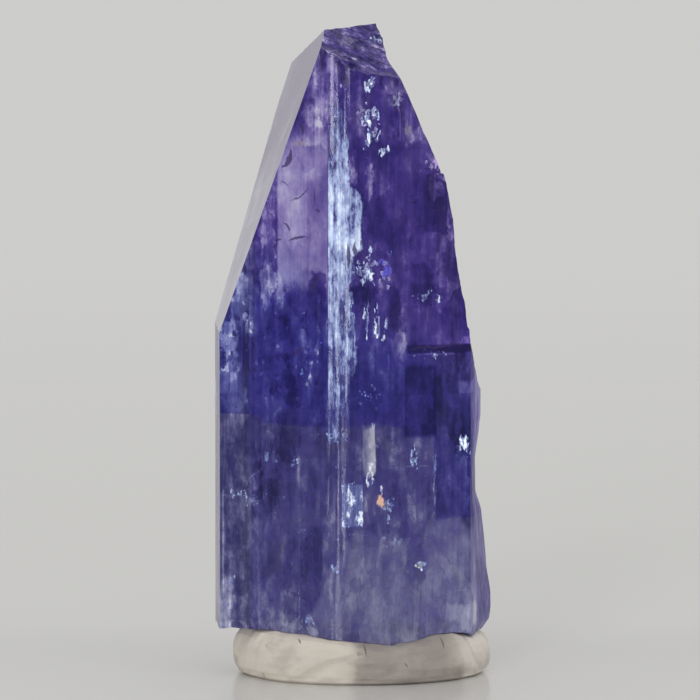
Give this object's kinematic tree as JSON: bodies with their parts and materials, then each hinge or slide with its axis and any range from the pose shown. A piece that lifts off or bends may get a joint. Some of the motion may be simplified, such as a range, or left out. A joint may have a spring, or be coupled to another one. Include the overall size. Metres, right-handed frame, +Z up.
{
  "type": "rough tanzanite crystal",
  "caption": "Rough tanzanite: a striated violet-blue prism with a bevelled, broken tip, standing upright on a pressed lump of white mounting putty.",
  "frame": {"origin": "on the putty's flat underside, in the middle of the whole part seen from above", "axes": "+Z up along the crystal, -Y towards the two broad faces and the narrow ridge facet between them, +X towards the broken flank"},
  "size_m": [0.0111, 0.0088, 0.0261],
  "materials": {
    "tanzanite": "clear violet-blue crystal with striated, partly frosted faces and rough broken ends",
    "putty": "matt off-white tack, kneaded and slightly soiled"
  },
  "bodies": {
    "root": {"tanzanite_crystal": "tanzanite", "mounting_putty": "putty"}
  },
  "joints": []
}
